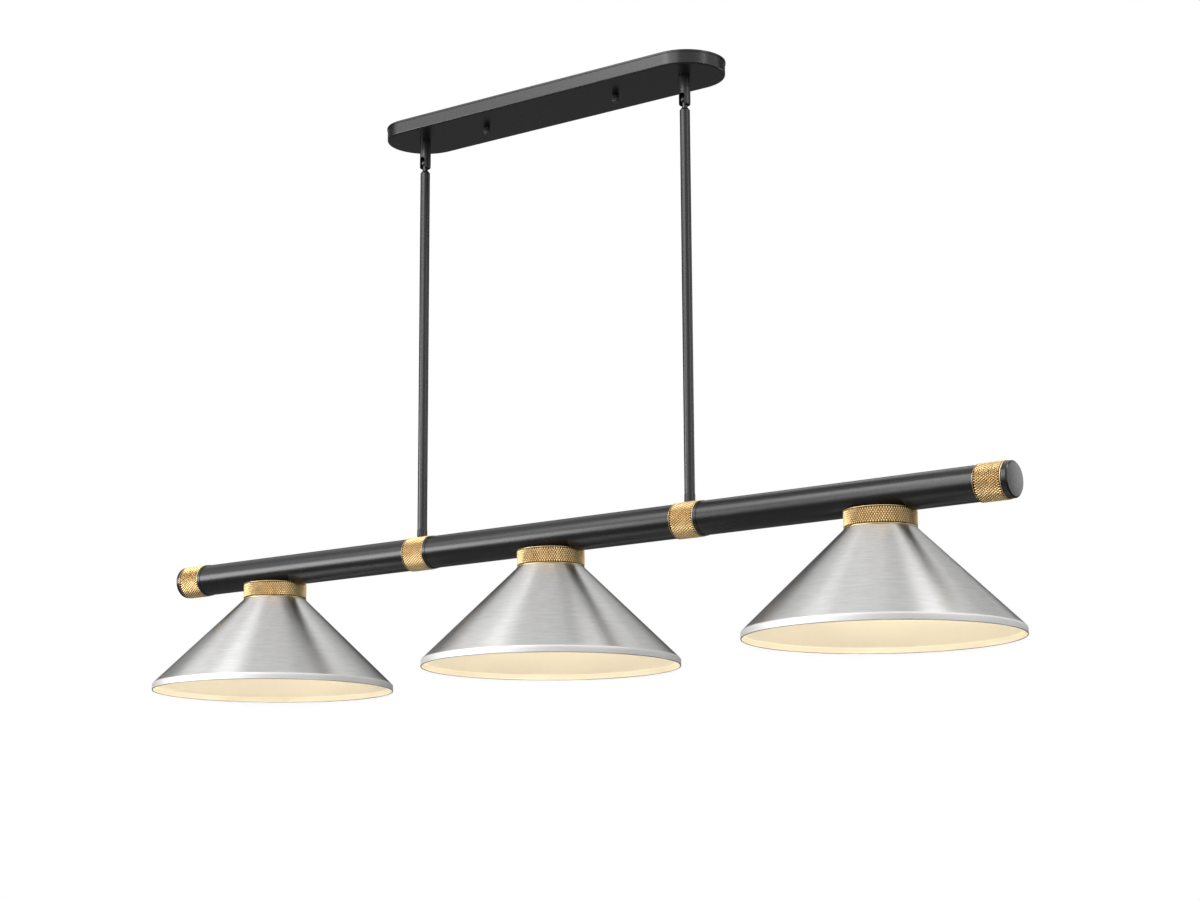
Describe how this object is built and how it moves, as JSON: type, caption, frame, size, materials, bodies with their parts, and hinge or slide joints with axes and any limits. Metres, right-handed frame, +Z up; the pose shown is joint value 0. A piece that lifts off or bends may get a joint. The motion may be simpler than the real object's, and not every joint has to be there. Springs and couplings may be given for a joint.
{
  "type": "linear island pendant",
  "caption": "Linear pendant: a long tube hung on slim stems from a stadium canopy by ball swivels, with knurled bands and necks carrying open cone shades.",
  "frame": {"origin": "centre of the canopy in the ceiling plane, between the crossbar's two slots", "axes": "+Z up, +X along the bar to the end that is nearer in the picture, -Y the front"},
  "size_m": [1.422, 0.3554, 0.8147],
  "materials": {
    "satin_black": "satin",
    "knurled_brass": "knurled, satin",
    "brushed_shade": "brushed outside, warm white inside",
    "zinc_steel": "zinc plated",
    "socket_black": "matte",
    "socket_brass": "plain",
    "lamp_base": "plain",
    "lamp_glass": "frosted",
    "lead_insulation": "matte",
    "ground_green": "gloss"
  },
  "bodies": {
    "ceiling_mount": {"canopy_pan": "satin_black", "crossbar": "zinc_steel", "ground_screw": "ground_green", "canopy_studs": "zinc_steel", "stud_lock_nuts": "zinc_steel", "canopy_cap_nuts": "satin_black", "hanger_nipples": "zinc_steel", "hanger_washers": "zinc_steel", "hanger_lock_nuts": "zinc_steel", "sleeve_bushings": "zinc_steel", "swivel_sleeve_left": "satin_black", "swivel_sleeve_right": "satin_black"},
    "hanging_bar": {"bar_centre": "satin_black", "bar_left": "satin_black", "bar_right": "satin_black", "bulb_base_centre": "lamp_base", "bulb_base_left": "lamp_base", "bulb_base_right": "lamp_base", "bulb_glass_centre": "lamp_glass", "bulb_glass_left": "lamp_glass", "bulb_glass_right": "lamp_glass", "end_band_left": "knurled_brass", "end_band_right": "knurled_brass", "end_cap_left": "satin_black", "end_cap_right": "satin_black", "joint_hub_left": "zinc_steel", "joint_hub_right": "zinc_steel", "lamp_lock_nuts": "zinc_steel", "lamp_nipples": "zinc_steel", "lamp_saddle_washers": "zinc_steel", "lead_centre": "lead_insulation", "lead_left": "lead_insulation", "lead_right": "lead_insulation", "neck_cup_centre": "knurled_brass", "neck_cup_left": "knurled_brass", "neck_cup_right": "knurled_brass", "shade_centre": "brushed_shade", "shade_left": "brushed_shade", "shade_right": "brushed_shade", "shade_ring_centre": "socket_black", "shade_ring_left": "socket_black", "shade_ring_right": "socket_black", "socket_centre": "socket_black", "socket_contacts": "socket_brass", "socket_left": "socket_black", "socket_right": "socket_black", "socket_shells": "socket_brass", "stem_band_left": "knurled_brass", "stem_band_right": "knurled_brass", "stem_collar_left": "satin_black", "stem_collar_right": "satin_black", "stem_left": "satin_black", "stem_lock_nuts": "zinc_steel", "stem_nipples": "zinc_steel", "stem_right": "satin_black", "stem_saddle_washers": "zinc_steel", "swivel_ball_left": "satin_black", "swivel_ball_right": "satin_black"}
  },
  "joints": [
    {"name": "bar_swing", "type": "hinge", "parent": "ceiling_mount", "child": "hanging_bar", "pos_m": [0, 0, -0.0525], "axis": [1, 0, 0], "range_deg": [-45, 15]}
  ]
}
